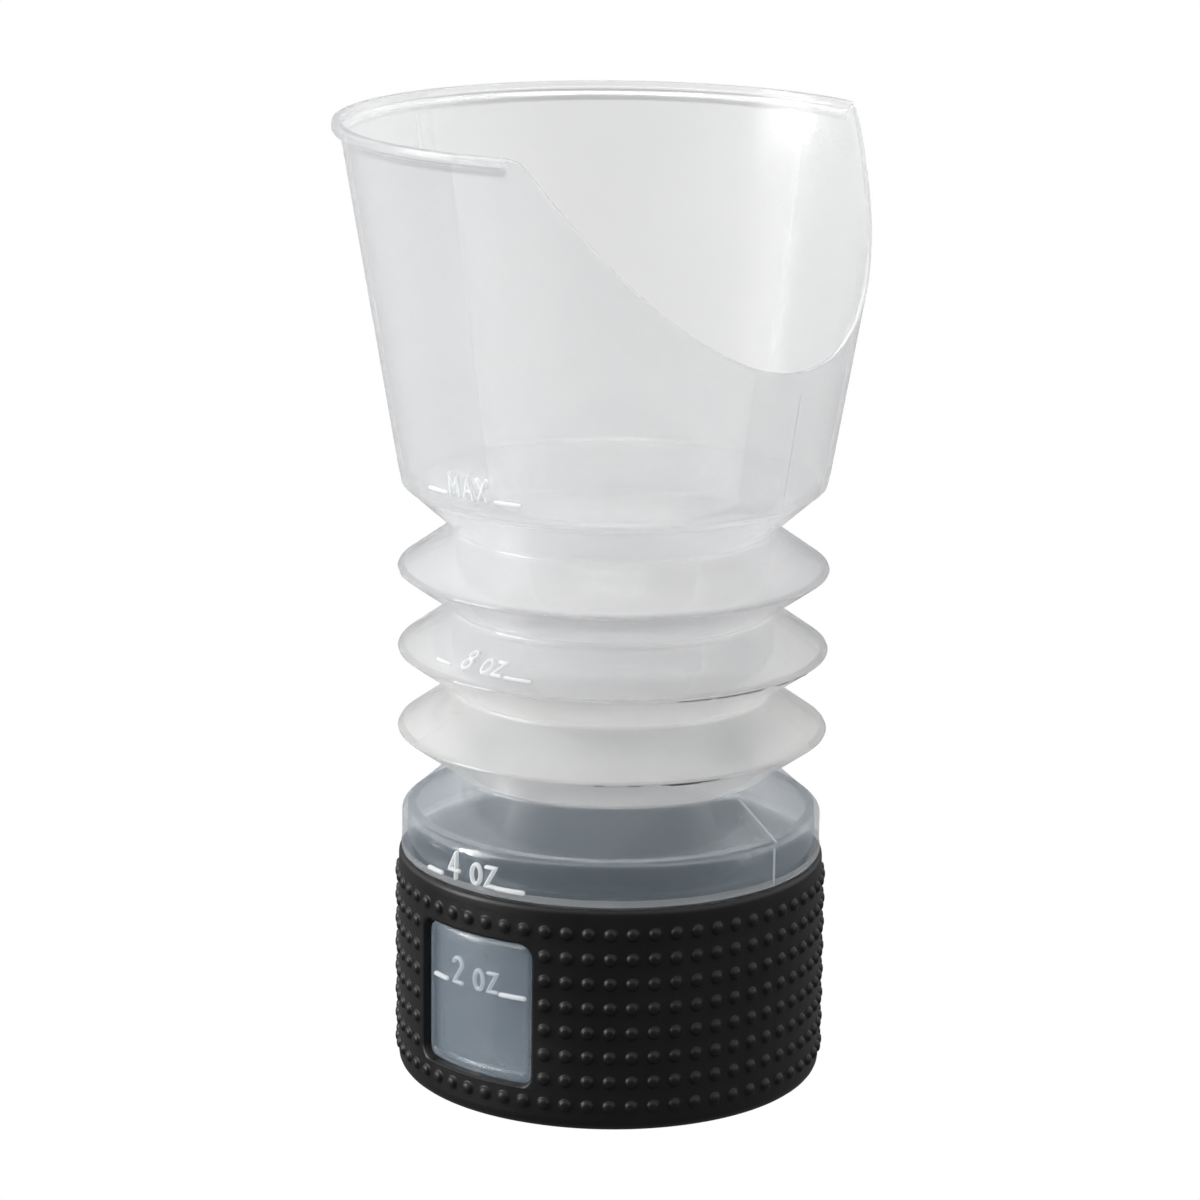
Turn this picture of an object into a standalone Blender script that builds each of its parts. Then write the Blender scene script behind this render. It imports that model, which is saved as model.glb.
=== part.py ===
"""Collapsible measuring cup with a rubber grip sleeve.

A blow-moulded translucent cup: a round base, a bellows of four folds and a flared bowl
whose wall is cut away in a deep curved notch. The base sits in a black rubber boot with
a window, behind which the base wall carries a raised panel.

Frame: metres, +Z up, origin on the cup's axis where the boot stands on the table.
The window faces -Y and the notch is cut on the +X side.
"""

import math

import bmesh
import bpy
from mathutils import Vector

MM = 0.001

# Driving dimensions, in millimetres ------------------------------------------------
SIDES = 48                  # flats round every turned piece
ARC_STEPS = 2               # points on each rounded corner of an outline
FIT_GAP = 0.3               # clearance between pieces that touch

WALL = 0.9                  # wall of the moulded cup

SLEEVE_RADIUS = 35.75
SLEEVE_WALL = 2.0
SLEEVE_HEIGHT = 38.15
SLEEVE_FLOOR = 2.2
SLEEVE_FOOT_ROUND = 2.2

WINDOW_HALF_ANGLE = math.radians(19.4)
WINDOW_LOW = 6.7
WINDOW_HIGH = 31.2
WINDOW_CORNER = 2.4
PANEL_RECESS = 0.6          # how far the panel lies below the sleeve's surface

BAND_RADIUS = 35.2          # the bare band of the base above the sleeve
BAND_TOP = 45.2
BAND_ROUND = 1.4

FLEX_LOW = 45.9             # where the bellows starts and the rigid base ends
FOLD_PITCH = 13.7
FOLD_COUNT = 4
CREST_RADIUS = 35.9
NECK_RADIUS = 26.5
NECK_ROUND = 0.5
FLEX_HIGH = FLEX_LOW + FOLD_COUNT * FOLD_PITCH

BOWL_CORNER_RADIUS = 35.4
BOWL_CORNER_HEIGHT = 101.6
BOWL_CORNER_ROUND = 2.0
BOWL_FLARE = 0.17           # growth of the bowl's radius per unit of height

RIM_HEIGHT = 161.5
RIM_RADIUS = 46.5
BEAD_FLAT_LOW = 159.5       # the bead's outer face runs from here to the rim
BEAD_FOOT = 158.0           # where the bead's sloping underside meets the wall
BEAD_WIDTH = 1.5            # of the rim's top face

NOTCH_LOW = 125.3           # lowest point of the notch
NOTCH_RISE = 0.00745        # rise in mm per squared degree away from the notch's middle
NOTCH_REACH = 74.0          # degrees to each side, past the rim
NOTCH_STEPS = 36

SLEEVE_INNER = SLEEVE_RADIUS - SLEEVE_WALL
BASE_RADIUS = SLEEVE_INNER - FIT_GAP
BASE_FLOOR = SLEEVE_FLOOR + FIT_GAP


# Shared shaping tools ---------------------------------------------------------------
def rounded(outline):
    """Turn (r, z, fillet) corners of a closed outline into points, with arcs at fillets."""
    points = []
    count = len(outline)
    for i, (r, z, fillet) in enumerate(outline):
        corner = Vector((r, z))
        if fillet <= 0:
            points.append(corner)
            continue
        before = (Vector(outline[i - 1][:2]) - corner).normalized()
        after = (Vector(outline[(i + 1) % count][:2]) - corner).normalized()
        half = before.angle(after) / 2
        reach = fillet / math.tan(half)
        centre = corner + (before + after).normalized() * (fillet / math.sin(half))
        start = corner + before * reach - centre
        end = corner + after * reach - centre
        sweep = start.angle_signed(end)
        for step in range(ARC_STEPS + 1):
            swing = -sweep * step / ARC_STEPS
            c, s = math.cos(swing), math.sin(swing)
            points.append(centre + Vector((start.x * c - start.y * s, start.x * s + start.y * c)))
    return points


def finish(name, bm, material, origin_z):
    """Make an object from a bmesh in millimetres, its origin on the axis at origin_z."""
    bmesh.ops.remove_doubles(bm, verts=bm.verts, dist=1e-5)
    bmesh.ops.recalc_face_normals(bm, faces=bm.faces)
    if bm.calc_volume(signed=True) < 0:
        bmesh.ops.reverse_faces(bm, faces=bm.faces)
    bmesh.ops.translate(bm, verts=bm.verts, vec=(0, 0, -origin_z))
    bmesh.ops.scale(bm, verts=bm.verts, vec=(MM, MM, MM))
    mesh = bpy.data.meshes.new(name)
    bm.to_mesh(mesh)
    bm.free()
    mesh.shade_smooth()
    mesh.set_sharp_from_angle(angle=math.radians(30))
    if material:
        mesh.materials.append(material)
    obj = bpy.data.objects.new(name, mesh)
    obj.location = (0, 0, origin_z * MM)
    bpy.context.scene.collection.objects.link(obj)
    return obj


def turn(name, outline, material=None, origin_z=0.0):
    """Turn a closed outline of (r, z, fillet) corners round the Z axis."""
    points = rounded(outline)
    bm = bmesh.new()
    rings = []
    for p in points:
        if p.x < 1e-6:
            rings.append([bm.verts.new((0, 0, p.y))] * SIDES)
            continue
        ring = []
        for side in range(SIDES):
            angle = 2 * math.pi * side / SIDES
            ring.append(bm.verts.new((p.x * math.cos(angle), p.x * math.sin(angle), p.y)))
        rings.append(ring)
    for i, ring in enumerate(rings):
        after = rings[(i + 1) % len(rings)]
        for side in range(SIDES):
            nxt = (side + 1) % SIDES
            corners = [ring[side], ring[nxt], after[nxt], after[side]]
            face = list(dict.fromkeys(corners))
            if len(face) > 2:
                bm.faces.new(face)
    return finish(name, bm, material, origin_z)


def rounded_prism(name, half_width, low, high, corner, near, far):
    """A rounded rectangle in X and Z, extruded along Y from near to far."""
    outline = rounded([
        (-half_width, low, corner),
        (half_width, low, corner),
        (half_width, high, corner),
        (-half_width, high, corner),
    ])
    bm = bmesh.new()
    front = bm.faces.new([bm.verts.new((p.x, near, p.y)) for p in outline])
    moved = bmesh.ops.extrude_face_region(bm, geom=[front])["geom"]
    corners = [item for item in moved if isinstance(item, bmesh.types.BMVert)]
    bmesh.ops.translate(bm, verts=corners, vec=(0, far - near, 0))
    return finish(name, bm, None, 0.0)


def as_tool(obj):
    """Hide a cutter or a guide from the finished part."""
    obj.hide_render = True
    obj.display_type = "WIRE"
    return obj


def combine(obj, tool, operation):
    """Add an exact Boolean to an object."""
    modifier = obj.modifiers.new(tool.name, "BOOLEAN")
    modifier.operation = operation
    modifier.object = tool
    modifier.solver = "EXACT"


def plastic(name, colour, roughness, transmission=0.0):
    """A Principled material of one colour."""
    material = bpy.data.materials.new(name)
    material.use_nodes = True
    shader = material.node_tree.nodes["Principled BSDF"]
    shader.inputs["Base Color"].default_value = (*colour, 1)
    shader.inputs["Roughness"].default_value = roughness
    shader.inputs["Metallic"].default_value = 0.0
    shader.inputs["Transmission Weight"].default_value = transmission
    material.diffuse_color = (*colour, 1)
    return material


# Sub-parts --------------------------------------------------------------------------
def window_shape(name, inset):
    """A prism along -Y with the window's outline, made smaller by inset on every side."""
    half_width = SLEEVE_RADIUS * math.sin(WINDOW_HALF_ANGLE) - inset
    return as_tool(rounded_prism(
        name, half_width, WINDOW_LOW + inset, WINDOW_HIGH - inset,
        WINDOW_CORNER - inset, -SLEEVE_INNER + 12, -SLEEVE_RADIUS - 5))


def curved_pad(name, inset, inner, outer):
    """The part of the window's prism that lies between two radii."""
    pad = window_shape(name, inset)
    limit = as_tool(turn(name + "_limit", [
        (inner, WINDOW_LOW - 4, 0),
        (outer, WINDOW_LOW - 4, 0),
        (outer, WINDOW_HIGH + 4, 0),
        (inner, WINDOW_HIGH + 4, 0),
    ]))
    combine(pad, limit, "INTERSECT")
    return pad


def make_sleeve(rubber):
    """Rubber boot: closed floor, round foot, soft top lip and a window in its wall."""
    sleeve = turn("grip_sleeve", [
        (0, 0, 0),
        (SLEEVE_RADIUS, 0, SLEEVE_FOOT_ROUND),
        (SLEEVE_RADIUS, SLEEVE_HEIGHT, 0.8),
        (SLEEVE_INNER, SLEEVE_HEIGHT, 0.3),
        (SLEEVE_INNER, SLEEVE_FLOOR, 1.5),
        (0, SLEEVE_FLOOR, 0),
    ], rubber)
    combine(sleeve, window_shape("window_cutter", 0.0), "DIFFERENCE")
    return sleeve


def make_base(clear):
    """Base of the cup: floor, a wall that the sleeve grips, a wider band and a shoulder."""
    ledge = SLEEVE_HEIGHT + FIT_GAP
    slope = (CREST_RADIUS - NECK_RADIUS) / (FOLD_PITCH / 2)
    top_radius = BAND_RADIUS - (FLEX_LOW - FIT_GAP / 2 - BAND_TOP) * slope
    skin = WALL * math.hypot(1, slope)
    base = turn("base_cup", [
        (0, BASE_FLOOR, 0),
        (BASE_RADIUS, BASE_FLOOR, 1.9),
        (BASE_RADIUS, ledge, 0.3),
        (BAND_RADIUS, ledge, 0.5),
        (BAND_RADIUS, BAND_TOP, BAND_ROUND),
        (top_radius, FLEX_LOW - FIT_GAP / 2, 0),
        (top_radius - skin, FLEX_LOW - FIT_GAP / 2, 0),
        (BAND_RADIUS - WALL, BAND_TOP - 0.4, 0.6),
        (BAND_RADIUS - WALL, ledge + WALL + 0.8, 0.5),
        (BASE_RADIUS - WALL, ledge - 0.6, 0.5),
        (BASE_RADIUS - WALL, BASE_FLOOR + WALL + 0.5, 1.2),
        (0, BASE_FLOOR + WALL + 0.5, 0),
    ], clear, BASE_FLOOR)

    panel_radius = SLEEVE_RADIUS - PANEL_RECESS
    panel = curved_pad("window_panel", FIT_GAP, BASE_RADIUS - WALL / 2, panel_radius)
    pocket = curved_pad("panel_pocket", FIT_GAP + WALL, BASE_RADIUS - 3, panel_radius - WALL)
    combine(base, panel, "UNION")
    combine(base, pocket, "DIFFERENCE")
    return base


def make_fold(index, clear):
    """One fold of the bellows, from one crest to the next; fold 1 is the highest."""
    low = FLEX_LOW + (FOLD_COUNT - index) * FOLD_PITCH
    middle = low + FOLD_PITCH / 2
    bottom = low + FIT_GAP / 2
    top = low + FOLD_PITCH - FIT_GAP / 2
    slope = (CREST_RADIUS - NECK_RADIUS) / (FOLD_PITCH / 2)
    skin = WALL * math.hypot(1, slope)
    bottom_radius = NECK_RADIUS + (middle - bottom) * slope
    top_radius = NECK_RADIUS + (top - middle) * slope
    if index == FOLD_COUNT:
        bottom_radius = BAND_RADIUS - (bottom - BAND_TOP) * slope
    if index == 1:
        top_radius = BOWL_CORNER_RADIUS - (BOWL_CORNER_HEIGHT - top) * slope
    return turn(f"bellows_fold_{index}", [
        (bottom_radius, bottom, 0),
        (NECK_RADIUS, middle, NECK_ROUND),
        (top_radius, top, 0),
        (top_radius - skin, top, 0),
        (NECK_RADIUS - skin, middle, NECK_ROUND + WALL),
        (bottom_radius - skin, bottom, 0),
    ], clear, low)


def make_notch_cutter():
    """A curtain of space round +X whose lower edge is the notch's curve."""
    inner, outer, top = 20.0, RIM_RADIUS + 12, RIM_HEIGHT + 12
    bm = bmesh.new()
    sections = []
    for step in range(NOTCH_STEPS + 1):
        degrees = NOTCH_REACH * (2 * step / NOTCH_STEPS - 1)
        low = NOTCH_LOW + NOTCH_RISE * degrees ** 2
        c, s = math.cos(math.radians(degrees)), math.sin(math.radians(degrees))
        corners = ((inner, low), (outer, low), (outer, top), (inner, top))
        sections.append([bm.verts.new((r * c, r * s, z)) for r, z in corners])
    for first, second in zip(sections, sections[1:]):
        for k in range(4):
            m = (k + 1) % 4
            bm.faces.new((first[k], first[m], second[m], second[k]))
    bm.faces.new(sections[0])
    bm.faces.new(sections[-1])
    return as_tool(finish("notch_cutter", bm, None, 0.0))


def make_bowl(clear):
    """Flared bowl with a beaded rim, cut away by the notch."""
    slope = (CREST_RADIUS - NECK_RADIUS) / (FOLD_PITCH / 2)
    skin = WALL * math.hypot(1, slope)
    low = FLEX_HIGH + FIT_GAP / 2
    low_radius = BOWL_CORNER_RADIUS - (BOWL_CORNER_HEIGHT - low) * slope

    def wall(z):
        return BOWL_CORNER_RADIUS + (z - BOWL_CORNER_HEIGHT) * BOWL_FLARE

    bowl = turn("cup_bowl", [
        (low_radius, low, 0),
        (BOWL_CORNER_RADIUS, BOWL_CORNER_HEIGHT, BOWL_CORNER_ROUND / 2),
        (wall(BEAD_FOOT), BEAD_FOOT, 0.4),
        (RIM_RADIUS, BEAD_FLAT_LOW, 0.4),
        (RIM_RADIUS, RIM_HEIGHT, 0.5),
        (RIM_RADIUS - BEAD_WIDTH, RIM_HEIGHT, 0.4),
        (wall(BEAD_FLAT_LOW) - WALL, BEAD_FLAT_LOW, 0.4),
        (BOWL_CORNER_RADIUS - WALL - 0.1, BOWL_CORNER_HEIGHT + 0.5, 0.5),
        (low_radius - skin, low, 0),
    ], clear, FLEX_HIGH)
    combine(bowl, make_notch_cutter(), "DIFFERENCE")
    return bowl


def main():
    for obj in list(bpy.data.objects):
        bpy.data.objects.remove(obj, do_unlink=True)
    clear = plastic("translucent_plastic", (0.84, 0.85, 0.86), 0.35, 0.6)
    rubber = plastic("black_rubber", (0.018, 0.018, 0.02), 0.6)
    make_sleeve(rubber)
    make_base(clear)
    for index in range(FOLD_COUNT, 0, -1):
        make_fold(index, clear)
    make_bowl(clear)


main()
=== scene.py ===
"""Looks of the collapsible measuring cup: a translucent moulded cup with a bellows and a
notched bowl, standing in a black rubber boot that is covered in small domes.

Sizes are in millimetres until a mesh is made. Angles are in degrees, measured from the
window's direction (-Y) towards the notch (+X).
"""
import math

import bmesh
import bpy
from mathutils import Matrix, Vector, noise


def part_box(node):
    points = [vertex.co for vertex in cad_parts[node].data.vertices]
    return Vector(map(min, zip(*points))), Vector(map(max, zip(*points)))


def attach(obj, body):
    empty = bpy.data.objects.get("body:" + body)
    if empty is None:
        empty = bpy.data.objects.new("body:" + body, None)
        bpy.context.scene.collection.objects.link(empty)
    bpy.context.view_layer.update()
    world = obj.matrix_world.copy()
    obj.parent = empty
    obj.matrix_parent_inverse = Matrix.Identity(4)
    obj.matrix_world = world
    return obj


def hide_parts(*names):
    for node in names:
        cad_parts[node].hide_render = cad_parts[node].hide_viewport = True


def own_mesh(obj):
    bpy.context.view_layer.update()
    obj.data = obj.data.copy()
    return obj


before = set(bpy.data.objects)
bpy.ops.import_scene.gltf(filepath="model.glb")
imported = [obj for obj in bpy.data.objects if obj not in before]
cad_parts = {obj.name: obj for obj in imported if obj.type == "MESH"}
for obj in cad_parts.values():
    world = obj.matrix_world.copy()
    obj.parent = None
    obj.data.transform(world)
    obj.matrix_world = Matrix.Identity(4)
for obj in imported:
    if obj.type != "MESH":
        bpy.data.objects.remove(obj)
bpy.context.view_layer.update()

MM = 0.001


def node_box(name):
    """Lowest and highest corner of a CAD node, in millimetres."""
    low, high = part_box(name)
    return [v / MM for v in low], [v / MM for v in high]


# ---------------------------------------------------------------- sizes from the frame
GAP = 0.3                   # between the sleeve and the cup, and between the cup's solids
SLEEVE_R = 35.75
SLEEVE_TOP = node_box("grip_sleeve")[1][2]
SLEEVE_WALL = 2.0
SLEEVE_IN = SLEEVE_R - SLEEVE_WALL
SLEEVE_FLOOR = 2.2
BASE_R = SLEEVE_IN - GAP
BASE_FLOOR = 2.5
BAND_R = 35.2
BAND_TOP = 45.2
FLEX_LOW = node_box("bellows_fold_4")[0][2] - GAP / 2
PITCH = 13.7
FOLDS = 4
FLEX_HIGH = FLEX_LOW + PITCH * FOLDS
CREST_R = 35.9
NECK_R = 26.5
CONE = (CREST_R - NECK_R) / (PITCH / 2)
WALL = 0.9
SKIN = WALL * math.hypot(1, CONE)
CORNER_R = 35.4
CORNER_Z = 101.6
FLARE = 0.17
RIM_Z = node_box("cup_bowl")[1][2]
NOTCH_ANGLE = 90
NOTCH_LOW = 125.3
NOTCH_RISE = 0.00745
NOTCH_REACH = 85            # degrees each side of the notch's middle; past it the rim is whole
MARK_2_Z = 21.5             # heights of the volume marks' baselines
MARK_4_Z = 39.9
MARK_8_Z = 75.1
MARK_MAX_Z = 104.5


def lerp(a, b, t):
    return a + (b - a) * t


def smooth(a, b, x):
    t = min(1.0, max(0.0, (x - a) / (b - a)))
    return t * t * (3 - 2 * t)


def place(angle, radius, z):
    """A point in millimetres at an angle from the window's direction."""
    a = math.radians(angle)
    return (radius * math.sin(a), -radius * math.cos(a), z)


def wobble(x, y, z, seed):
    """Slow noise between about -1 and 1."""
    return noise.noise(Vector((x, y, z)) + Vector((seed, seed * 1.7, -seed)))


# ---------------------------------------------------------------- mesh building
MERGE = 0.002               # corners closer than this become one


class Builder:
    """Collects faces in millimetres; corners that meet are merged at the end."""

    def __init__(self):
        self.points = []
        self.faces = []
        self.kinds = []

    def add(self, point):
        self.points.append(point)
        return len(self.points) - 1

    def face(self, corners, kind=0):
        self.faces.append(corners)
        self.kinds.append(kind)

    def sheet(self, rows, kind=0, wrap=False, flip=False):
        """Quads between rows of points; wrap joins each row's ends."""
        ids = [[self.add(p) for p in row] for row in rows]
        n = len(ids[0])
        for a, b in zip(ids, ids[1:]):
            for j in range(n if wrap else n - 1):
                k = (j + 1) % n
                quad = (a[j], a[k], b[k], b[j])
                self.face(quad[::-1] if flip else quad, kind)
        return ids

    def fan(self, ring, point, kind=0, flip=False):
        """Triangles from a closed ring of indices to one point."""
        tip = self.add(point)
        for j in range(len(ring)):
            tri = (ring[j], ring[(j + 1) % len(ring)], tip)
            self.face(tri[::-1] if flip else tri, kind)

    def retag(self, kind, where):
        """Gives another material to the faces whose centre (radius, z) is picked."""
        for i, corners in enumerate(self.faces):
            n = len(corners)
            x, y, z = (sum(self.points[c][axis] for c in corners) / n for axis in range(3))
            if self.kinds[i] == 0 and where(math.hypot(x, y), z):
                self.kinds[i] = kind

    def make(self, name, materials, crease):
        mesh = bpy.data.meshes.new(name)
        mesh.from_pydata([[c * MM for c in p] for p in self.points], [], self.faces)
        for m in materials:
            mesh.materials.append(m)
        mesh.polygons.foreach_set("material_index", self.kinds)
        bm = bmesh.new()
        bm.from_mesh(mesh)
        bmesh.ops.remove_doubles(bm, verts=bm.verts, dist=MERGE * MM)
        bmesh.ops.dissolve_degenerate(bm, edges=bm.edges, dist=MERGE * MM * 0.5)
        bmesh.ops.recalc_face_normals(bm, faces=bm.faces)
        for f in bm.faces:
            f.smooth = True
        bm.to_mesh(mesh)
        bm.free()
        mesh.set_sharp_from_angle(angle=math.radians(crease))
        obj = bpy.data.objects.new(name, mesh)
        bpy.context.collection.objects.link(obj)
        return obj


def revolve(build, angles, profile):
    """Turns a closed profile round Z.

    profile(angle) gives the points (radius, z), always the same number of them.
    """
    columns = [[place(a, r, z) for r, z in profile(a)] for a in angles]
    rows = list(zip(*columns))
    rows.append(rows[0])
    build.sheet(rows, wrap=True)


# ---------------------------------------------------------------- lettering
def arc(cx, cy, rx, ry, start, end, steps=9):
    return [(cx + rx * math.cos(math.radians(lerp(start, end, i / steps))),
             cy + ry * math.sin(math.radians(lerp(start, end, i / steps))))
            for i in range(steps + 1)]


# Places in a piece's list of materials; its own plastic comes first.
MARK, SECOND, THIRD, SOFT_MARK = 1, 2, 3, 4

# Each letter is a list of strokes in a box one unit high; the number is its width.
LETTERS = {
    "2": (0.50, [arc(0.25, 0.75, 0.23, 0.24, 165, -35, 10) + [(0.03, 0.02), (0.50, 0.02)]]),
    "4": (0.52, [[(0.37, 0.0), (0.37, 0.98)], [(0.33, 0.94), (0.03, 0.30), (0.52, 0.30)]]),
    "8": (0.46, [arc(0.23, 0.76, 0.19, 0.22, -90, 270, 14),
                 arc(0.23, 0.27, 0.22, 0.26, -270, 90, 14)]),
    "o": (0.50, [arc(0.25, 0.38, 0.21, 0.37, 0, 360, 18)]),
    "z": (0.46, [[(0.04, 0.74), (0.43, 0.74), (0.03, 0.03), (0.46, 0.03)]]),
    "M": (0.62, [[(0.02, 0.0), (0.06, 1.0), (0.31, 0.30), (0.56, 1.0), (0.60, 0.0)]]),
    "A": (0.56, [[(0.02, 0.0), (0.28, 1.0), (0.54, 0.0)], [(0.11, 0.32), (0.45, 0.32)]]),
    "X": (0.54, [[(0.02, 0.0), (0.52, 1.0)], [(0.02, 1.0), (0.52, 0.0)]]),
    " ": (0.26, []),
}


def ridge(build, path, surface, half_width, height, kind=MARK):
    """A raised rounded stroke along a path (s, t) on surface(s, t, lift)."""
    dense = [path[0]]
    for a, b in zip(path, path[1:]):
        n = max(1, math.ceil(math.dist(a, b) / 0.5))
        dense += [(lerp(a[0], b[0], i / n), lerp(a[1], b[1], i / n)) for i in range(1, n + 1)]
    section = ((-1.0, -0.5), (-0.96, 0.1), (-0.75, 0.62), (-0.4, 0.93), (0.0, 1.0),
               (0.4, 0.93), (0.75, 0.62), (0.96, 0.1), (1.0, -0.5))
    closed = math.dist(dense[0], dense[-1]) < 1e-6
    rings = []
    last = len(dense) - 1
    for i, (s, t) in enumerate(dense):
        before = dense[i - 1] if i else (dense[-2] if closed else dense[0])
        after = dense[i + 1] if i < last else (dense[1] if closed else dense[-1])
        d1 = Vector((s - before[0], t - before[1]))
        d2 = Vector((after[0] - s, after[1] - t))
        d1 = d1.normalized() if d1.length > 1e-9 else d2.normalized()
        d2 = d2.normalized() if d2.length > 1e-9 else d1
        mid = (d1 + d2)
        mid = mid.normalized() if mid.length > 0.3 else d2
        side = Vector((-mid.y, mid.x))
        stretch = min(1.6, 1 / max(0.5, side.dot(Vector((-d1.y, d1.x)))))
        ends = []
        if not closed and i == 0:
            ends = [(-0.9, 0.25), (-0.55, 0.75)]
        offsets = ends + [(0.0, 1.0)]
        if not closed and i == last:
            offsets = [(0.0, 1.0), (0.55, 0.75), (0.9, 0.25)]
        for along, size in offsets:
            cx = s + mid.x * along * half_width
            cy = t + mid.y * along * half_width
            rings.append([surface(cx + side.x * w * half_width * size * stretch,
                                  cy + side.y * w * half_width * size * stretch,
                                  h * height * (size ** 0.5 if h > 0 else 1))
                          for w, h in section])
    if closed:
        rings[-1] = rings[0]
    ids = build.sheet(rings, kind, wrap=True)
    if not closed:
        build.face(tuple(ids[0])[::-1], kind)
        build.face(tuple(ids[-1]), kind)


def write(build, text, surface, height, half_width, lift, slant, gap, kind=MARK):
    """Lettering centred on s = 0 with its baseline on t = 0."""
    total = sum(LETTERS[c][0] + gap for c in text) - gap
    x = -total / 2
    for c in text:
        width, strokes = LETTERS[c]
        for stroke in strokes:
            path = [((x + px + slant * py) * height, py * height) for px, py in stroke]
            ridge(build, path, surface, half_width, lift, kind)
        x += width + gap


# ---------------------------------------------------------------- materials
def nodes_of(name):
    mat = bpy.data.materials.new(name)
    mat.use_nodes = True
    tree = mat.node_tree
    tree.nodes.clear()
    return mat, tree


def math_node(tree, operation, a, b):
    node = tree.nodes.new("ShaderNodeMath")
    node.operation = operation
    for socket, value in zip(node.inputs, (a, b)):
        if isinstance(value, (int, float)):
            socket.default_value = value
        else:
            tree.links.new(value, socket)
    return node.outputs[0]


def noise_node(tree, vector, scale, detail=3.0, rough=0.6):
    node = tree.nodes.new("ShaderNodeTexNoise")
    node.inputs["Scale"].default_value = scale
    node.inputs["Detail"].default_value = detail
    node.inputs["Roughness"].default_value = rough
    tree.links.new(vector, node.inputs["Vector"])
    return node.outputs["Fac"]


def remap(tree, value, low, high):
    """Turns the middle of a noise value's range into low to high."""
    node = tree.nodes.new("ShaderNodeMapRange")
    node.inputs["From Min"].default_value = 0.3
    node.inputs["From Max"].default_value = 0.7
    node.inputs["To Min"].default_value = low
    node.inputs["To Max"].default_value = high
    tree.links.new(value, node.inputs["Value"])
    return node.outputs["Result"]


def plastic(name, clear=0.38, frost=0.74, back=0.45, passed=(1.0, 0.988, 0.972),
            milk=(0.94, 0.97, 1.0), rough=0.21, relief=1.0):
    """Milky translucent plastic.

    clear is the share of light that goes straight through each face and frost the share
    of the rest that passes through a satin skin. What is left meets the milky body, which
    glows through and sends the share back towards the side that the light came from."""
    mat, tree = nodes_of(name)
    link = tree.links.new
    out = tree.nodes.new("ShaderNodeOutputMaterial")
    coords = tree.nodes.new("ShaderNodeTexCoord").outputs["Object"]
    cloud = noise_node(tree, coords, 55.0, detail=5.0)
    fine = noise_node(tree, coords, 900.0)
    slow = noise_node(tree, coords, 120.0, rough=0.5)
    bump = tree.nodes.new("ShaderNodeBump")
    bump.inputs["Strength"].default_value = 0.22 * relief
    bump.inputs["Distance"].default_value = 0.00015
    link(math_node(tree, "ADD", math_node(tree, "MULTIPLY", fine, 0.35), slow),
         bump.inputs["Height"])

    skin = tree.nodes.new("ShaderNodeBsdfPrincipled")
    skin.inputs["Base Color"].default_value = (*passed, 1)
    skin.inputs["IOR"].default_value = 1.49
    skin.inputs["Transmission Weight"].default_value = 1.0
    gloss = remap(tree, cloud, rough - 0.05, rough + 0.05)
    link(gloss, skin.inputs["Roughness"])
    link(bump.outputs["Normal"], skin.inputs["Normal"])

    face = tree.nodes.new("ShaderNodeBsdfPrincipled")
    face.inputs["Base Color"].default_value = (*milk, 1)
    face.inputs["IOR"].default_value = 1.49
    link(gloss, face.inputs["Roughness"])
    link(bump.outputs["Normal"], face.inputs["Normal"])
    glow = tree.nodes.new("ShaderNodeBsdfTranslucent")
    glow.inputs["Color"].default_value = (*milk, 1)
    link(bump.outputs["Normal"], glow.inputs["Normal"])

    def mixed(share, first, second):
        node = tree.nodes.new("ShaderNodeMixShader")
        if isinstance(share, (int, float)):
            node.inputs[0].default_value = share
        else:
            link(share, node.inputs[0])
        link(first.outputs[0], node.inputs[1])
        link(second.outputs[0], node.inputs[2])
        return node

    body = mixed(back, glow, face)
    surface = mixed(frost, body, skin)
    glass = tree.nodes.new("ShaderNodeBsdfTransparent")
    glass.inputs["Color"].default_value = (*passed, 1)
    haze = remap(tree, cloud, 1 - clear - 0.02, 1 - clear + 0.02)
    link(mixed(haze, glass, surface).outputs[0], out.inputs["Surface"])
    return mat


def rubber(name):
    mat, tree = nodes_of(name)
    link = tree.links.new
    out = tree.nodes.new("ShaderNodeOutputMaterial")
    coords = tree.nodes.new("ShaderNodeTexCoord").outputs["Object"]
    skin = tree.nodes.new("ShaderNodeBsdfPrincipled")
    cloud = noise_node(tree, coords, 60.0, detail=5.0)
    shade = remap(tree, cloud, 0.002, 0.005)
    colour = tree.nodes.new("ShaderNodeCombineColor")
    for socket in colour.inputs:
        link(shade, socket)
    link(colour.outputs[0], skin.inputs["Base Color"])
    link(remap(tree, cloud, 0.36, 0.48), skin.inputs["Roughness"])
    skin.inputs["IOR"].default_value = 1.38
    grain = noise_node(tree, coords, 1600.0)
    bump = tree.nodes.new("ShaderNodeBump")
    bump.inputs["Strength"].default_value = 0.3
    bump.inputs["Distance"].default_value = 0.0001
    link(grain, bump.inputs["Height"])
    link(bump.outputs["Normal"], skin.inputs["Normal"])
    link(skin.outputs[0], out.inputs["Surface"])
    return mat


bowl_plastic = plastic("bowl_plastic", clear=0.40, frost=0.76, milk=(0.91, 0.93, 0.95),
                       passed=(0.984, 0.982, 0.979), relief=0.4)
# Two copies of the bellows plastic: a greyer one for the upper folds is painted shade, a whiter one
# for the lower folds is painted light.
upper_folds_painted_shade = plastic("upper_folds_painted_shade", clear=0.32, frost=0.68, rough=0.14,
                             passed=(0.985, 0.983, 0.98), milk=(0.89, 0.90, 0.92))
bellows_painted_light = plastic("bellows_painted_light", clear=0.30, frost=0.62, rough=0.14,
                          passed=(1.0, 0.995, 0.99), milk=(1.0, 1.0, 1.0))
base_plastic = plastic("base_plastic", clear=0.50, frost=0.78, rough=0.14,
                       milk=(0.58, 0.70, 0.80), passed=(0.975, 0.975, 0.975))
panel_plastic = plastic("panel_plastic", clear=0.40, frost=0.70, rough=0.20,
                        milk=(0.62, 0.74, 0.86), passed=(0.97, 0.97, 0.97))
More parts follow.
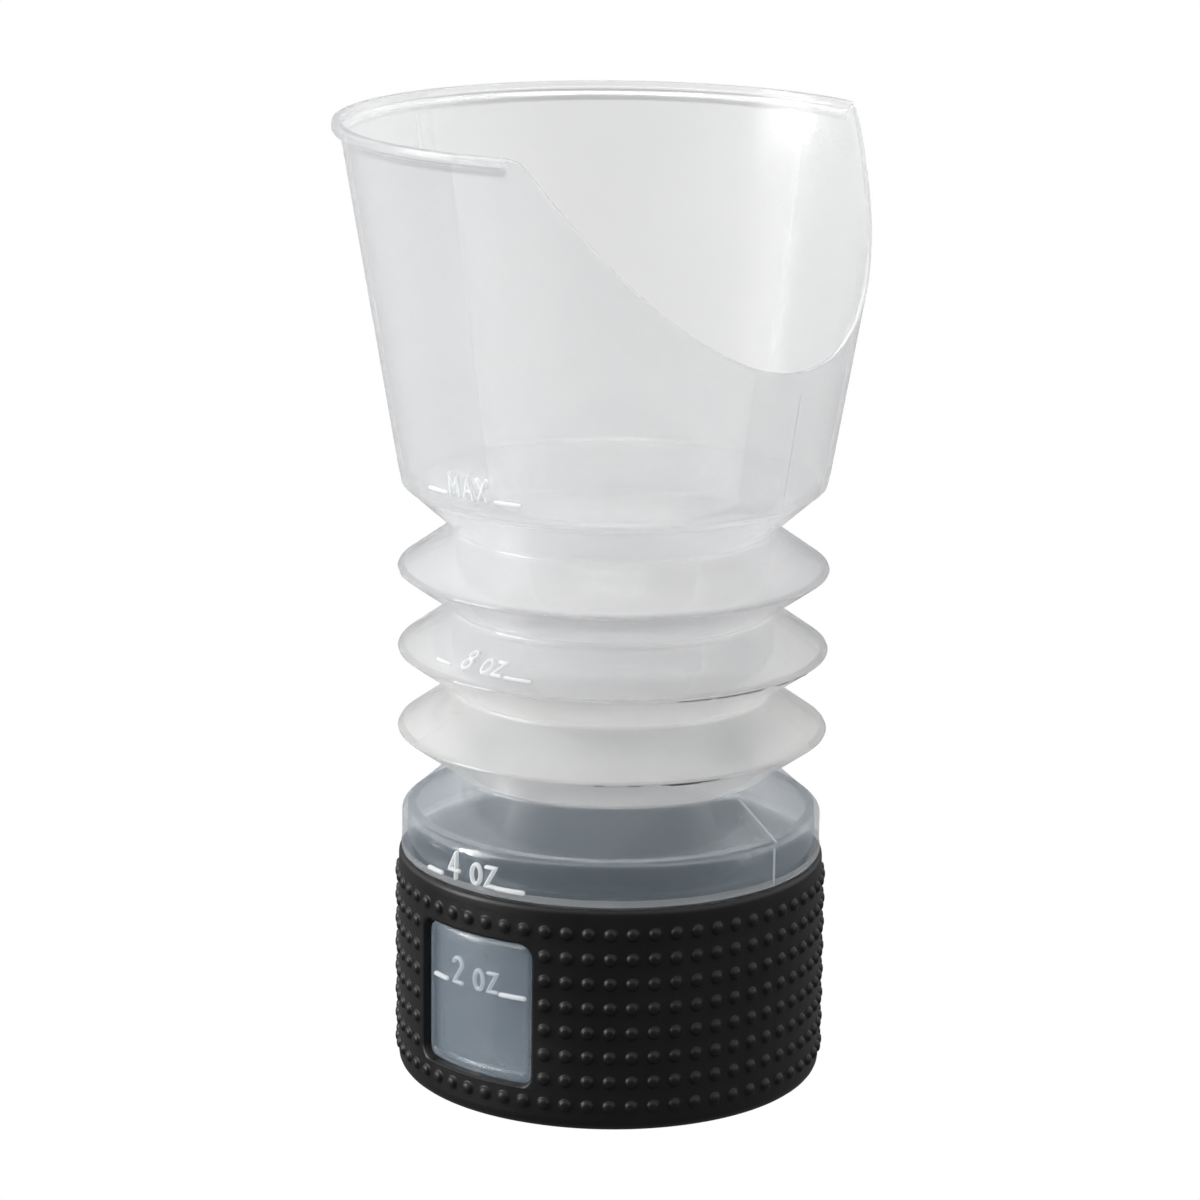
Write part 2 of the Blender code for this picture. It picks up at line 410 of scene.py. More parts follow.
# Painted highlight: the raised marks get a whiter, less clear plastic than the wall, standing in
# for the light their edges catch.
marks_painted_highlight = plastic("raised_marks_painted_highlight", clear=0.25, frost=0.20, back=0.6, rough=0.20,
                       milk=(0.97, 0.99, 1.0), relief=0.3)
# A milder painted highlight, for the panel's lettering and the parting ridges.
soft_mark_highlight = plastic("soft_marks_painted_highlight", clear=0.40, frost=0.45, back=0.6, rough=0.20,
                    milk=(0.86, 0.94, 1.0), relief=0.3)
# Near-black plastic for the thin ragged lines and specks just under the crests.
dark_crest_plastic = plastic("dark_crest_plastic", clear=0.05, frost=0.05, back=0.6, rough=0.36,
                    milk=(0.05, 0.06, 0.07), relief=0.3)
black_rubber = rubber("black_rubber")


# ---------------------------------------------------------------- rubber sleeve
DOT_COLUMNS = 62
DOT_ROWS = 8
DOT_FIRST = 4.5
DOT_PITCH = 4.21
DOT_H = 0.62
CELL = 360.0 / DOT_COLUMNS
CELL_STEPS = 4
WINDOW_HALF = 19.4
WINDOW_Z = (6.7, 31.2)
WINDOW_ROUND = 2.4
WINDOW_SPAN = 3.5           # columns either side of the window's centre that it replaces


def square_ring(steps):
    """Positions round a square from -1 to 1, anticlockwise, starting at a corner."""
    out = []
    for side in range(4):
        for i in range(steps):
            t = -1 + 2 * i / steps
            out.append([(t, -1), (1, t), (-t, 1), (-1, -t)][side])
    return out


def frame_ring(across, up, bend):
    """Corner-weighted positions round a rounded rectangle.

    Gives (side u, side v) on the unit square boundary and a function for a
    rounded rectangle of half sizes w, h and corner r with the same count of points.
    """
    flat = []
    for side in range(4):
        n = across if side in (0, 2) else up
        for i in range(n):
            flat.append((side, i, n))

    def square(w, h):
        pts = []
        for side, i, n in flat:
            t = -1 + 2 * i / n
            pts.append([(t * w, -h), (w, t * h), (-t * w, h), (-w, -t * h)][side])
        return pts

    def rounded(w, h, r):
        pts = []
        for side, i, n in flat:
            length = (w if side in (0, 2) else h)
            if i < bend:
                swing, along = (i / bend - 1) * 45.0, None
            elif i > n - bend:
                swing, along = (i - n + bend) / bend * 45.0, None
            else:
                swing, along = 0.0, lerp(-(length - r), length - r, (i - bend) / (n - 2 * bend))
            if along is None:
                a = math.radians(swing)
                edge = (length - r) * (1 if swing > 0 else -1)
                x, y = edge + r * math.sin(a), r * math.cos(a) - r
            else:
                x, y = along, 0.0
            depth = (h if side in (0, 2) else w)
            out = depth + y
            pts.append([(x, -out), (out, x), (-x, out), (-out, -x)][side])
        return pts

    return square, rounded


def on_sleeve(s, t, lift):
    """s in degrees, t in millimetres above the table."""
    return place(s, SLEEVE_R + lift, t)


def sleeve_dot(build, angle, z):
    """One square cell with its dome in the middle."""
    ring = square_ring(CELL_STEPS)
    half_a, half_z = CELL / 2, DOT_PITCH / 2
    edge = [on_sleeve(angle + u * half_a, z + v * half_z, 0.0) for u, v in ring]
    rows = [edge]
    mm_per_degree = math.radians(1) * SLEEVE_R
    for rho, lift in ((1.34, 0.0), (1.15, 0.03), (1.06, 0.14), (0.99, 0.32), (0.84, 0.68),
                      (0.61, 0.88), (0.31, 0.97)):
        row = []
        for u, v in ring:
            d = math.hypot(u, v)
            row.append(on_sleeve(angle + u / d * rho / mm_per_degree, z + v / d * rho,
                                 lift * DOT_H))
        rows.append(row)
    ids = build.sheet(rows, wrap=True)
    build.fan(ids[-1], on_sleeve(angle, z, DOT_H))


def make_sleeve():
    build = Builder()
    fine = [i * CELL / CELL_STEPS + CELL / 2 for i in range(DOT_COLUMNS * CELL_STEPS)]
    z_edges = [DOT_FIRST + (row - 0.5) * DOT_PITCH for row in range(DOT_ROWS + 1)]

    # domes
    for column in range(DOT_COLUMNS):
        offset = min(column, DOT_COLUMNS - column)
        for row in range(DOT_ROWS):
            if offset < WINDOW_SPAN and 1 <= row <= DOT_ROWS - 2:
                continue
            sleeve_dot(build, column * CELL, DOT_FIRST + row * DOT_PITCH)

    # foot and floor
    foot = [(0.0, 0.0), (18.0, 0.0), (SLEEVE_R - 2.6, 0.0)]
    foot += [(SLEEVE_R - 2.2 + 2.2 * math.sin(math.radians(a)),
              2.2 - 2.2 * math.cos(math.radians(a))) for a in (15, 30, 45, 60, 75, 90)]
    foot += [(SLEEVE_R, z_edges[0])]
    rows = [[place(a, r, z) for a in fine] for r, z in foot[1:]]
    ids = build.sheet(rows, wrap=True)
    build.fan(ids[0], (0, 0, 0), flip=True)

    # smooth band, lip, inner wall and inner floor
    lip = [(SLEEVE_R, z_edges[-1]), (SLEEVE_R, SLEEVE_TOP - 0.9)]
    lip += [(SLEEVE_R - 0.8 + 0.8 * math.cos(math.radians(a)),
             SLEEVE_TOP - 0.8 + 0.8 * math.sin(math.radians(a))) for a in (20, 40, 60, 80)]
    lip += [(SLEEVE_IN + 0.35, SLEEVE_TOP), (SLEEVE_IN + 0.1, SLEEVE_TOP - 0.1),
            (SLEEVE_IN, SLEEVE_TOP - 0.35), (SLEEVE_IN, z_edges[-2])]
    build.sheet([[place(a, r, z) for a in fine] for r, z in lip], wrap=True)
    low = [(SLEEVE_IN, z_edges[1]), (SLEEVE_IN, 3.8), (SLEEVE_IN - 0.4, 2.7),
           (SLEEVE_IN - 1.5, SLEEVE_FLOOR), (16.0, SLEEVE_FLOOR)]
    ids = build.sheet([[place(a, r, z) for a in fine] for r, z in low], wrap=True)
    build.fan(ids[-1], (0, 0, SLEEVE_FLOOR))

    # inner wall beside the window
    across = int(2 * WINDOW_SPAN * CELL_STEPS)
    up = (DOT_ROWS - 2) * CELL_STEPS
    span = WINDOW_SPAN * CELL
    z_low, z_high = z_edges[1], z_edges[-2]
    heights = [lerp(z_low, z_high, i / up) for i in range(up + 1)]
    rest = [a for a in fine if span - 1e-6 <= a <= 360 - span + 1e-6]
    build.sheet([[place(a, SLEEVE_IN, z) for a in rest] for z in heights])

    # the window's opening
    square, rounded = frame_ring(across, up, 4)
    mid = (z_low + z_high) / 2
    centre = sum(WINDOW_Z) / 2
    half = (WINDOW_Z[1] - WINDOW_Z[0]) / 2
    per = math.radians(1) * SLEEVE_R
    outer = [place(u, SLEEVE_R, mid + v) for u, v in square(span, (z_high - z_low) / 2)]
    rows = [outer]
    for grow, sink in ((0.55, 0.0), (0.42, 0.03), (0.22, 0.12), (0.08, 0.27), (0.0, 0.5),
                       (0.0, 1.2), (0.0, 1.8), (0.0, SLEEVE_WALL)):
        pts = rounded(WINDOW_HALF * per + grow, half + grow, WINDOW_ROUND + grow)
        rows.append([place(x / per, SLEEVE_R - sink, centre + y) for x, y in pts])
    rows.append([place(u, SLEEVE_IN, mid + v) for u, v in square(span, (z_high - z_low) / 2)])
    build.sheet(rows, wrap=True)
    return build.make("rubber_sleeve", [black_rubber], 40)


# ---------------------------------------------------------------- cup base
PANEL_R = SLEEVE_R - 0.95
FIELD = -0.48               # the middle of the panel lies below its frame
PARTING = (90.0, 270.0)


def fine_angles(step, extra=()):
    """Angles round the cup, closer together at the parting lines and at the extras."""
    angles = {round(i * step, 4) for i in range(int(round(360 / step)))}
    for centre in PARTING:
        for d in (0.1, 0.25, 0.45, 0.7):
            angles |= {round((centre + d) % 360, 4), round((centre - d) % 360, 4)}
    angles |= {round(a % 360, 4) for a in extra}
    return sorted(angles)


def off_parting(angle):
    """Degrees to the nearer parting line."""
    return min(abs((angle - p + 180) % 360 - 180) for p in PARTING)


def seam_lift(angle, height, half=0.45):
    d = off_parting(angle)
    return height * max(0.0, 1 - (d / half) ** 2)


def on_band(s, t, lift):
    return place(math.degrees(s / BAND_R), BAND_R + lift, t + MARK_4_Z)


def on_panel(s, t, lift):
    return place(math.degrees(s / PANEL_R), PANEL_R + FIELD + lift, t + MARK_2_Z)


def make_base():
    build = Builder()
    ledge = SLEEVE_TOP + GAP
    top_r = BAND_R - (FLEX_LOW - BAND_TOP) * CONE
    span = 22.4
    step = 0.8
    z_low, z_high = 4.9, 33.1
    across, up = int(round(2 * span / step)), 48
    angles = fine_angles(1.6)
    inside = [-span + i * step for i in range(across + 1)]
    angles = sorted({round(a, 4) for a in angles if span < a < 360 - span}
                    | {round(a % 360, 4) for a in inside})

    foot = [(15.0, BASE_FLOOR), (30.0, BASE_FLOOR), (BASE_R - 1.9, BASE_FLOOR),
            (BASE_R - 0.9, BASE_FLOOR + 0.3), (BASE_R - 0.25, BASE_FLOOR + 0.95),
            (BASE_R, BASE_FLOOR + 1.9), (BASE_R, z_low)]
    ids = build.sheet([[place(a, r, z) for a in angles] for r, z in foot], wrap=True)
    build.fan(ids[0], (0.0, 0.0, BASE_FLOOR), flip=True)

    def high_part(a):
        lift = seam_lift(a, 0.16)
        r = BAND_R + lift
        wave = 0.10 * wobble(a * 0.11, 0.0, 0.0, 3.0) + 0.05 * wobble(a * 0.5, 0.0, 0.0, 8.0)
        foot = r + 0.16 + wave
        pts = [(BASE_R, z_high), (BASE_R, ledge - 0.3), (BASE_R + 0.3, ledge),
               (foot - 0.45, ledge), (foot - 0.1, ledge + 0.12), (foot, ledge + 0.4),
               (foot - 0.03, ledge + 0.8), (r, ledge + 1.3 + wave),
               (r, ledge + 2.4), (r, BAND_TOP - 1.1)]
        # rounded shoulder corner, tangent to the band and to the cone
        turn_angle = math.atan(CONE)          # cone's lean from upright
        radius = 0.9
        reach = radius * math.tan(turn_angle / 2)
        cx, cz = BAND_R - radius, BAND_TOP - reach
        for i in range(1, 7):
            b = turn_angle * i / 6
            pts.append((cx + radius * math.cos(b) + lift, cz + radius * math.sin(b)))
        pts.append((top_r + lift * 0.6, FLEX_LOW - 0.01))
        pts += [(top_r - SKIN, FLEX_LOW - 0.01), (BAND_R - WALL - 0.3, BAND_TOP - 0.2),
                (BAND_R - WALL, BAND_TOP - 1.0), (BAND_R - WALL, ledge + 2.2),
                (BAND_R - WALL - 0.3, ledge + 1.6), (BASE_R - WALL, ledge - 0.6),
                (BASE_R - WALL, z_high)]
        return pts

    cols = [[place(a, r, z) for r, z in high_part(a)] for a in angles]
    build.sheet(list(zip(*cols)), wrap=True)

    inner = BASE_R - WALL
    inner_floor = BASE_FLOOR + WALL + 0.5
    low = [(inner, z_low), (inner - 0.35, inner_floor + 0.35), (inner - 1.2, inner_floor),
           (20.0, inner_floor)]
    ids = build.sheet([[place(a, r, z) for a in angles] for r, z in low], wrap=True)
    build.fan(ids[-1], (0.0, 0.0, inner_floor))

    # plain wall away from the panel
    heights = [lerp(z_low, z_high, i / up) for i in range(up + 1)]
    rest = [a for a in angles if span - 1e-6 <= a <= 360 - span + 1e-6]
    build.sheet([[place(a, BASE_R, z) for a in rest] for z in heights])
    build.sheet([[place(a, BASE_R - WALL, z) for a in rest] for z in heights])

    # the raised panel behind the window, outside and inside
    square, rounded = frame_ring(across, up, 7)
    mid = (z_low + z_high) / 2
    centre = sum(WINDOW_Z) / 2
    half = (WINDOW_Z[1] - WINDOW_Z[0]) / 2
    per = math.radians(1) * SLEEVE_R
    edge = [place(u, BASE_R, mid + v) for u, v in square(span, (z_high - z_low) / 2)]

    def loop(inset, radius):
        r = max(0.3, WINDOW_ROUND - inset)
        pts = rounded(WINDOW_HALF * per - inset, half - inset, r)
        return [place(x / per, radius, centre + y) for x, y in pts]

    rows = [edge, loop(0.32, BASE_R)]
    for inset, lift in ((0.36, -0.8), (0.42, -0.5), (0.6, -0.25), (0.85, -0.16), (1.3, -0.14),
                        (1.55, -0.16), (1.68, -0.22), (1.82, -0.40), (1.95, -0.46), (2.3, -0.48)):
        rows.append(loop(inset, PANEL_R + lift))
    rows.append(loop(4.0, PANEL_R + FIELD))
    build.sheet(rows, wrap=True)
    fill_patch(build, rounded, across, up, per, half, centre, 4.0, PANEL_R + FIELD)
    rows = [[place(u, BASE_R - WALL, mid + v) for u, v in square(span, (z_high - z_low) / 2)],
            loop(1.2, BASE_R - WALL), loop(1.25, BASE_R - WALL + 0.3),
            loop(1.5, PANEL_R - WALL - 0.65),
            loop(2.0, PANEL_R - WALL + FIELD), loop(4.0, PANEL_R - WALL + FIELD)]
    build.sheet(rows, wrap=True)
    fill_patch(build, rounded, across, up, per, half, centre, 4.0, PANEL_R - WALL + FIELD)

    write(build, "4 oz", on_band, 4.5, 0.36, 0.42, 0.04, 0.17)
    write(build, "2 oz", on_panel, 4.4, 0.36, 0.36, 0.0, 0.17, kind=SOFT_MARK)
    for surface, left, right, r in ((on_band, (-17.5, -11.5), (8.6, 16.6), BAND_R),
                                    (on_panel, (-16.4, -11.0), (9.3, 16.6), PANEL_R)):
        for a, b in (left, right):
            ridge(build, [(math.radians(a) * r, 0.0), (math.radians(b) * r, 0.0)],
                  surface, 0.42, 0.4)
    # the foot of the band gets the whiter bellows plastic as a painted highlight; the panel is a
    # little milkier than the rest
    build.retag(SECOND, lambda r, z: r > BAND_R - 0.3 and ledge + 0.1 < z < ledge + 1.25)
    build.retag(THIRD, lambda r, z: r > BASE_R - WALL - 0.2 and z_low < z < z_high)
    # The parting ridge gets the milder painted highlight of the soft marks.
    parting = math.radians(PARTING[0]) * BAND_R
    ridge(build, [(parting, -0.6), (parting, BAND_TOP - 0.2 - MARK_4_Z)], on_band, 0.13, 0.24,
          kind=SOFT_MARK)
    return build.make("cup_lower_body", [base_plastic, marks_painted_highlight, bellows_painted_light, panel_plastic,
                                         soft_mark_highlight], 38)


def fill_patch(build, rounded, across, up, per, half, centre, inset, radius):
    """Closes a rounded-rectangle loop with a grid blended from its own edge."""
    r = max(0.3, WINDOW_ROUND - inset)
    w, h = WINDOW_HALF * per - inset, half - inset
    pts = rounded(w, h, r)
    bottom = pts[:across + 1]
    right = pts[across:across + up + 1]
    top = pts[across + up:2 * across + up + 1][::-1]
    left = (pts[2 * across + up:] + [pts[0]])[::-1]
    rows = []
    for j in range(up + 1):
        v = j / up
        row = []
        for i in range(across + 1):
            u = i / across
            x = (lerp(left[j][0], right[j][0], u) + lerp(bottom[i][0], top[i][0], v)
                 - lerp(lerp(bottom[0][0], bottom[-1][0], u), lerp(top[0][0], top[-1][0], u), v))
            y = (lerp(left[j][1], right[j][1], u) + lerp(bottom[i][1], top[i][1], v)
                 - lerp(lerp(bottom[0][1], bottom[-1][1], u), lerp(top[0][1], top[-1][1], u), v))
            row.append(place(x / per, radius, centre + y))
        rows.append(row)
    build.sheet(rows)


# ---------------------------------------------------------------- bellows
def crest_radius(level, angle):
    """Outer radius of a crest; the moulded edge is slightly uneven."""
    p = place(angle, CREST_R, 0)
    return CREST_R + 0.06 * wobble(p[0] * 0.25, p[1] * 0.25, level * 3.1, 5.0)


def make_fold(index):
    """One fold from crest to crest; fold 1 is the highest."""
    build = Builder()
    low = FLEX_LOW + (FOLDS - index) * PITCH
    mid = low + PITCH / 2
    high = low + PITCH

    def profile(a):
        lift = seam_lift(a, 0.1)
        r0 = crest_radius(low, a)
        r1 = crest_radius(high, a)
        if index == FOLDS:
            r0 = BAND_R - (FLEX_LOW - BAND_TOP) * CONE
        if index == 1:
            r1 = CORNER_R - (CORNER_Z - FLEX_HIGH) * CONE
        pts = []
        if index == FOLDS:
            pts.append((r0 + lift * 0.6, low))
        else:
            pts += [(r0, low), (r0 - 0.12, low + 0.28), (r0 - 0.8, low + 0.28 + 0.68 / CONE)]
        r_start, z_start = pts[-1]
        # cone up to the neck, a small round, cone up to the next crest
        bend = 0.55
        for i in range(1, 6):
            t = i / 6
            pts.append((lerp(r_start, NECK_R, t) + lift * 0.5, lerp(z_start, mid, t)))
        for k, drop in ((-1.0, 0.5), (-0.5, 0.14), (0.0, 0.0), (0.5, 0.14), (1.0, 0.5)):
            pts.append((NECK_R + 0.22 + drop * bend * CONE, mid + k * bend))
        if index == 1:
            tail = [(r1, high)]
        else:
            tail = [(r1 - 0.8, high - 0.28 - 0.68 / CONE), (r1 - 0.12, high - 0.28), (r1, high)]
        r_end, z_end = tail[0]
        for i in range(1, 6):
            t = i / 6
            pts.append((lerp(NECK_R, r_end, t) + lift * 0.5, lerp(mid, z_end, t)))
        pts += tail
        pts += [(r1 - SKIN, high), (NECK_R - SKIN + 0.9, mid + 0.8), (NECK_R - SKIN + 0.35, mid),
                (NECK_R - SKIN + 0.9, mid - 0.8), (r0 - SKIN, low)]
        return pts

    revolve(build, fine_angles(2.0), profile)
    return build


def on_cone(level, start):
    """Surface of the cone above a crest; t runs up its slope from start."""
    lean = math.hypot(1, CONE)

    def surface(s, t, lift):
        z = start + t / lean + lift * CONE / lean
        r = CREST_R - (start - level + t / lean) * CONE + lift / lean
        return place(math.degrees(s / (CREST_R - (start - level) * CONE)), r, z)
    return surface


def under_crest(level):
    """Surface just below a crest, where the moulded edge is ragged."""
    def surface(s, t, lift):
        angle = math.degrees(s / CREST_R)
        return place(angle, crest_radius(level, angle) - 0.09 + t * CONE * 0.4 + lift, level + t)
    return surface


def ragged_line(build, level, start, end, drop, seed):
    """A thin uneven dark line under a crest, broken in places."""
    run = []
    a = start
    while a < end:
        gap = wobble(a * 0.21, 0.0, 0.0, seed) < -0.22
        if not gap:
            uneven = 0.09 * wobble(a * 0.6, 0.0, 0.0, seed + 5)
            run.append((math.radians(a) * CREST_R, drop + uneven))
        if (gap or a + 0.8 >= end) and run:
            if len(run) > 2:
                ridge(build, run, under_crest(level), 0.11, 0.12, kind=THIRD)
            run = []
        a += 0.8


def make_folds():
    pieces = []
    for index in range(1, FOLDS + 1):
        build = make_fold(index)
        low = FLEX_LOW + (FOLDS - index) * PITCH
        if index == FOLDS - 2:
            surface = on_cone(low, MARK_8_Z)
            r = CREST_R - (MARK_8_Z - low) * CONE
            write(build, "8 oz", surface, 3.9, 0.32, 0.34, 0.0, 0.18)
            for a, b in ((-18.3, -12.0), (9.1, 17.0)):
                ridge(build, [(math.radians(a) * r, 0.0), (math.radians(b) * r, 0.0)],
                      surface, 0.32, 0.32)
        if index == FOLDS:
            # the cone above the band is as clear as the band
            build.retag(SECOND, lambda r, z: z < low + PITCH / 2)
            surface = on_cone(low, low)
            r = CREST_R
            run = (CREST_R - NECK_R) / CONE * math.hypot(1, CONE)
            # The parting ridge on this cone gets the soft marks' painted highlight.
            ridge(build, [(math.radians(PARTING[0]) * r, t) for t in (0.5, run - 1.2)],
                  surface, 0.12, 0.20, kind=SOFT_MARK)
            ragged_line(build, low + PITCH, 36.0, 74.0, -0.42, 2.0)
            ragged_line(build, low + PITCH, 56.0, 64.0, -0.62, 21.0)
        if index == FOLDS - 1:
            ragged_line(build, low + PITCH, 58.0, 104.0, -0.42, 11.0)
            for a, t, size in ((61.6, 1.5, 0.26), (79.0, 1.9, 0.20), (81.5, 1.7, 0.14),
                               (33.0, 0.9, 0.12), (97.0, 1.2, 0.16)):
                r = CREST_R
                spot = math.radians(a) * r
                ridge(build, [(spot - size * 0.4, t), (spot + size * 0.4, t)],
                      on_cone(low, low), size * 0.5, 0.08, kind=THIRD)
        # Painted shade on the two upper folds, painted light on the lower two.
        body = upper_folds_painted_shade if index <= 2 else bellows_painted_light
        pieces.append((index, low, build.make(f"bellows_ring_{index}",
                                              [body, marks_painted_highlight, base_plastic,
                                               dark_crest_plastic, soft_mark_highlight], 30)))
    return pieces


# ---------------------------------------------------------------- bowl
def wall_radius(z):
    return CORNER_R + (z - CORNER_Z) * FLARE


def from_notch(angle):
    """Degrees from the middle of the notch."""
    return abs((angle - NOTCH_ANGLE + 180) % 360 - 180)


def notch_height(angle):
    """Height of the cut edge; it meets the rim on both sides of the notch."""
    d = from_notch(angle)
    cut = NOTCH_LOW + NOTCH_RISE * d * d
    k = 0.9
    gap = cut - RIM_Z + 0.3
    if d > NOTCH_REACH:
        return RIM_Z - 0.3
    # a soft lower limit of the two heights
    return RIM_Z - 0.3 + gap / 2 - math.sqrt(gap * gap / 4 + k * k / 4)


BEAD = ((0.0, -3.5), (0.05, -2.9), (0.42, -2.3), (1.02, -1.85), (1.2, -1.6), (1.26, -1.3),
        (1.06, -0.35), (0.94, -0.1), (0.66, 0.0), (-0.05, 0.0), (-0.3, -0.08), (-0.36, -0.75),
        (-0.6, -0.9), (-0.66, -1.75), (-0.9, -1.95), (-0.9, -3.5))
PLAIN = ((0.0, -3.5), (0.0, -2.6), (0.0, -1.6), (0.0, -0.9), (0.0, -0.35), (-0.03, -0.15),
         (-0.12, -0.04), (-0.25, 0.0), (-0.5, 0.0), (-0.68, 0.0), (-0.8, -0.04), (-0.87, -0.15),
         (-0.9, -0.35), (-0.9, -0.9), (-0.9, -1.9), (-0.9, -3.5))


def make_bowl():
    build = Builder()
    rows = 22

    def profile(angle):
        d = from_notch(angle)
        bead = smooth(71.4, 72.6, d)
        plain_top = notch_height(angle)
        top = lerp(plain_top, RIM_Z, smooth(71.2, 71.9, d))
        lift = seam_lift(angle, 0.1)
        low_r = CORNER_R - (CORNER_Z - FLEX_HIGH) * CONE
        pts = [(low_r, FLEX_HIGH + 0.01), (CORNER_R - 0.5, CORNER_Z - 0.36),
               (CORNER_R - 0.13, CORNER_Z + 0.02), (CORNER_R + 0.06, CORNER_Z + 0.75)]
        start = CORNER_Z + 2.0
        for i in range(rows):
            z = lerp(start, top - 3.9, i / (rows - 1))
            pts.append((wall_radius(z) + lift, z))
        for (ro, zo), (rp, zp) in zip(BEAD, PLAIN):
            off, dz = lerp(rp, ro, bead), lerp(zp, zo, bead)
            pts.append((wall_radius(top + dz) + off, top + dz))
        for i in range(rows):
            z = lerp(top - 3.9, start, i / (rows - 1))
            pts.append((wall_radius(z) - WALL, z))
        pts += [(CORNER_R - WALL, CORNER_Z + 1.0), (CORNER_R - WALL - 0.5, CORNER_Z + 0.1),
                (low_r - SKIN, FLEX_HIGH + 0.01)]
        return pts

    extra = [NOTCH_ANGLE + s * (69.0 + i * 0.3) for s in (-1, 1) for i in range(18)]
    revolve(build, fine_angles(1.5, extra), profile)

    def surface(s, t, lift):
        z = MARK_MAX_Z + t
        return place(math.degrees(s / wall_radius(MARK_MAX_Z)), wall_radius(z) + lift, z)

    write(build, "MAX", surface, 3.4, 0.34, 0.38, 0.0, 0.3)
    r = wall_radius(MARK_MAX_Z)
    for a, b in ((-15.5, -8.5), (8.5, 15.5)):
        ridge(build, [(math.radians(a) * r, 0.0), (math.radians(b) * r, 0.0)], surface, 0.32, 0.34)
    return build.make("cup_bowl_wall", [bowl_plastic, marks_painted_highlight], 32)


sleeve = make_sleeve()
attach(sleeve, "base")
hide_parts("grip_sleeve")

base = make_base()
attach(base, "base")
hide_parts("base_cup")

RIDES = {4: "base", 3: "fold_ring_3", 2: "fold_ring_2", 1: "fold_ring_1"}
for index, low, piece in make_folds():
    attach(piece, RIDES[index])
    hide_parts(f"bellows_fold_{index}")
    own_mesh(piece)

bowl = make_bowl()
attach(bowl, "bowl")
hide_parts("cup_bowl")

# ---------------------------------------------------------------- floor, light, camera
scene = bpy.context.scene
scene.view_settings.view_transform = "Standard"
scene.cycles.transparent_max_bounces = 48
scene.cycles.max_bounces = 32
scene.cycles.transmission_bounces = 24
scene.cycles.diffuse_bounces = 12

AZIMUTH = 40.3
ELEVATION = 14.175
DISTANCE = 0.750
TARGET = Vector((0, 0, 0.08396))
ROLL = 0.0112
LAMP_DISTANCE = 0.9


def around(azimuth, elevation, distance, target=TARGET):
    a, e = math.radians(azimuth), math.radians(elevation)
    return target + distance * Vector((math.sin(a) * math.cos(e), -math.cos(a) * math.cos(e),
                                       math.sin(e)))


# The backdrop shows as plain white; what it gives as light is softer and comes from both
# sides and from above.
world = bpy.data.worlds.new("studio")
scene.world = world
world.use_nodes = True
tree = world.node_tree
tree.nodes.clear()
link = tree.links.new
out = tree.nodes.new("ShaderNodeOutputWorld")
seen = tree.nodes.new("ShaderNodeBackground")
seen.inputs["Color"].default_value = (1, 1, 1, 1)
seen.inputs["Strength"].default_value = 1.0
felt = tree.nodes.new("ShaderNodeBackground")
felt.inputs["Color"].default_value = (1, 1, 1, 1)
heading = tree.nodes.new("ShaderNodeTexCoord").outputs["Generated"]
glow = 0.0
for azimuth, elevation, strength in ((AZIMUTH - 90, 0, 2.2), (AZIMUTH + 90, 0, 2.1),
                                     (AZIMUTH, 90, 1.9)):
    facing = tree.nodes.new("ShaderNodeVectorMath")
    facing.operation = "DOT_PRODUCT"
    facing.inputs[1].default_value = around(azimuth, elevation, 1, Vector((0, 0, 0)))
    link(heading, facing.inputs[0])
    lobe = math_node(tree, "POWER", math_node(tree, "MAXIMUM", facing.outputs["Value"], 0.0), 2.0)
    glow = math_node(tree, "ADD", math_node(tree, "MULTIPLY", lobe, strength), glow)
link(math_node(tree, "MINIMUM", glow, 1.3), felt.inputs["Strength"])
path = tree.nodes.new("ShaderNodeLightPath")
mix = tree.nodes.new("ShaderNodeMixShader")
link(path.outputs["Is Camera Ray"], mix.inputs[0])
link(felt.outputs[0], mix.inputs[1])
link(seen.outputs[0], mix.inputs[2])
link(mix.outputs[0], out.inputs["Surface"])

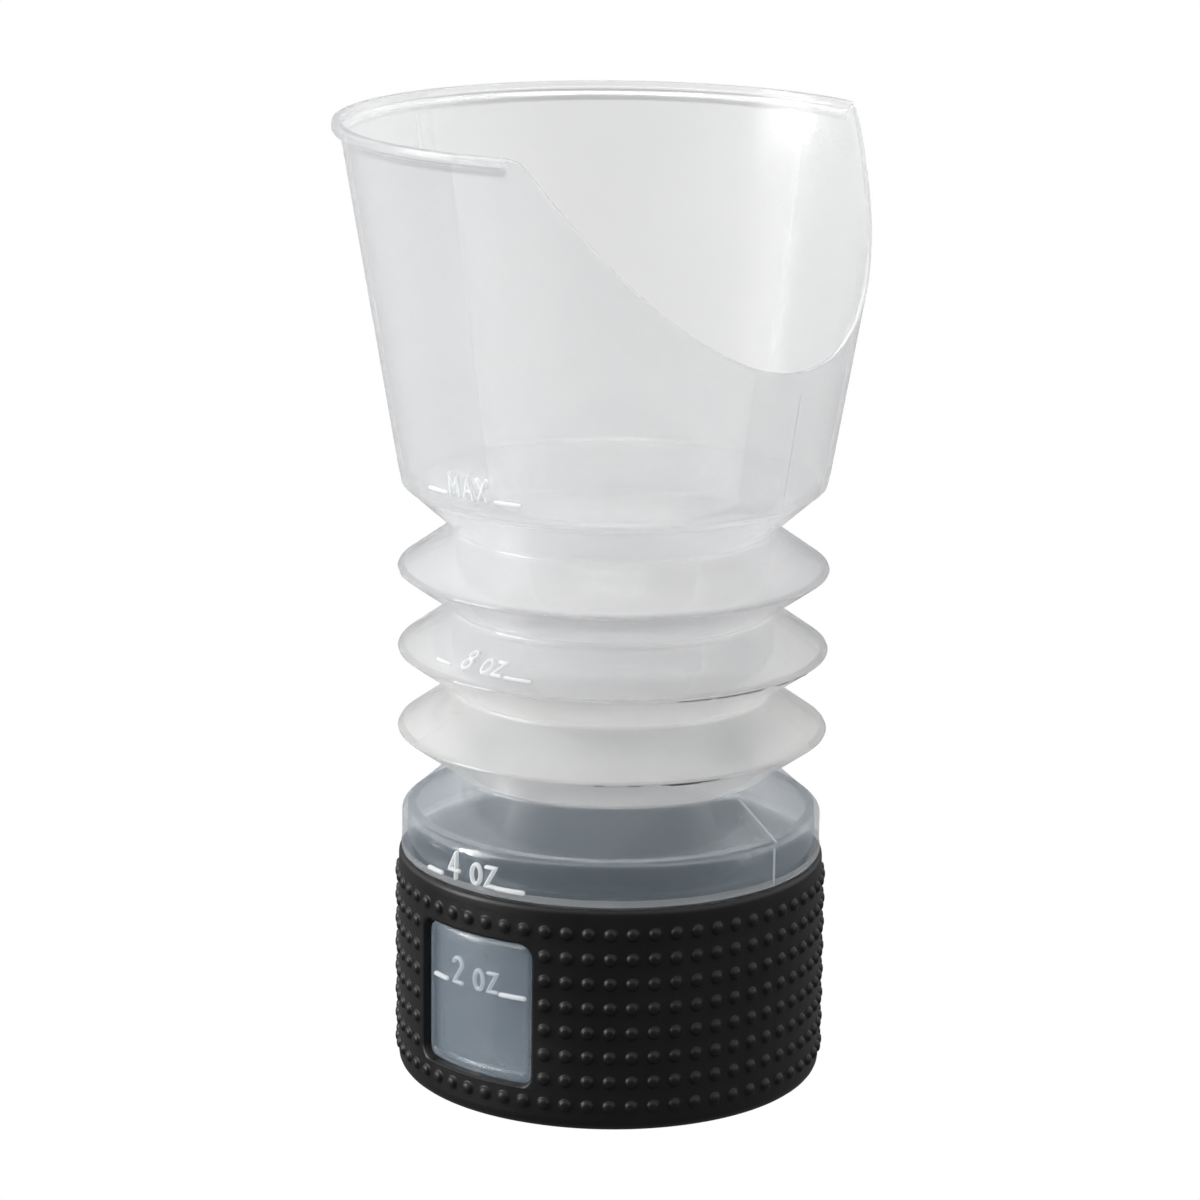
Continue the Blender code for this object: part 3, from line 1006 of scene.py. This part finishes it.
floor_mat, tree = nodes_of("studio_floor")
out = tree.nodes.new("ShaderNodeOutputMaterial")
glow = tree.nodes.new("ShaderNodeEmission")
path = tree.nodes.new("ShaderNodeLightPath")
level = math_node(tree, "ADD", math_node(tree, "MULTIPLY", path.outputs["Is Camera Ray"], 0.8),
                  0.2)
level = math_node(tree, "ADD", math_node(tree, "MULTIPLY", path.outputs["Is Transmission Ray"],
                                         0.52), level)
tree.links.new(level, glow.inputs["Strength"])
tree.links.new(glow.outputs[0], out.inputs["Surface"])
FLOOR_HALF = 3.0
FLOOR_Z = -0.0002
floor_mesh = bpy.data.meshes.new("floor")
floor_mesh.from_pydata([(x * FLOOR_HALF, y * FLOOR_HALF, FLOOR_Z)
                        for x, y in ((-1, -1), (1, -1), (1, 1), (-1, 1))], [], [(0, 1, 2, 3)])
floor_mesh.materials.append(floor_mat)
floor = bpy.data.objects.new("floor", floor_mesh)
bpy.context.collection.objects.link(floor)


def softbox(name, azimuth, elevation, power):
    """A tall soft light that faces the cup."""
    light = bpy.data.lights.new(name, "AREA")
    light.shape = "RECTANGLE"
    light.size = 0.4
    light.size_y = 0.8
    light.energy = power
    lamp = bpy.data.objects.new(name, light)
    lamp.location = around(azimuth, elevation, LAMP_DISTANCE)
    lamp.rotation_euler = (TARGET - lamp.location).to_track_quat("-Z", "Y").to_euler()
    lamp.visible_camera = False
    lamp.visible_transmission = False
    bpy.context.collection.objects.link(lamp)


softbox("left_box", AZIMUTH - 80, 15, 9.8)
softbox("top_box", AZIMUTH + 180, 70, 8.0)

camera_data = bpy.data.cameras.new("camera")
camera = bpy.data.objects.new("camera", camera_data)
bpy.context.collection.objects.link(camera)
camera_data.lens = 135
camera_data.sensor_width = 36
camera_data.shift_x = -13.5 / 1200
camera_data.shift_y = -17.7 / 1200
camera_data.clip_start = 0.05
camera.location = around(AZIMUTH, ELEVATION, DISTANCE)
look = (TARGET - camera.location).to_track_quat("-Z", "Y").to_matrix()
camera.rotation_euler = (look @ Matrix.Rotation(ROLL, 3, "Z")).to_euler()
scene.camera = camera
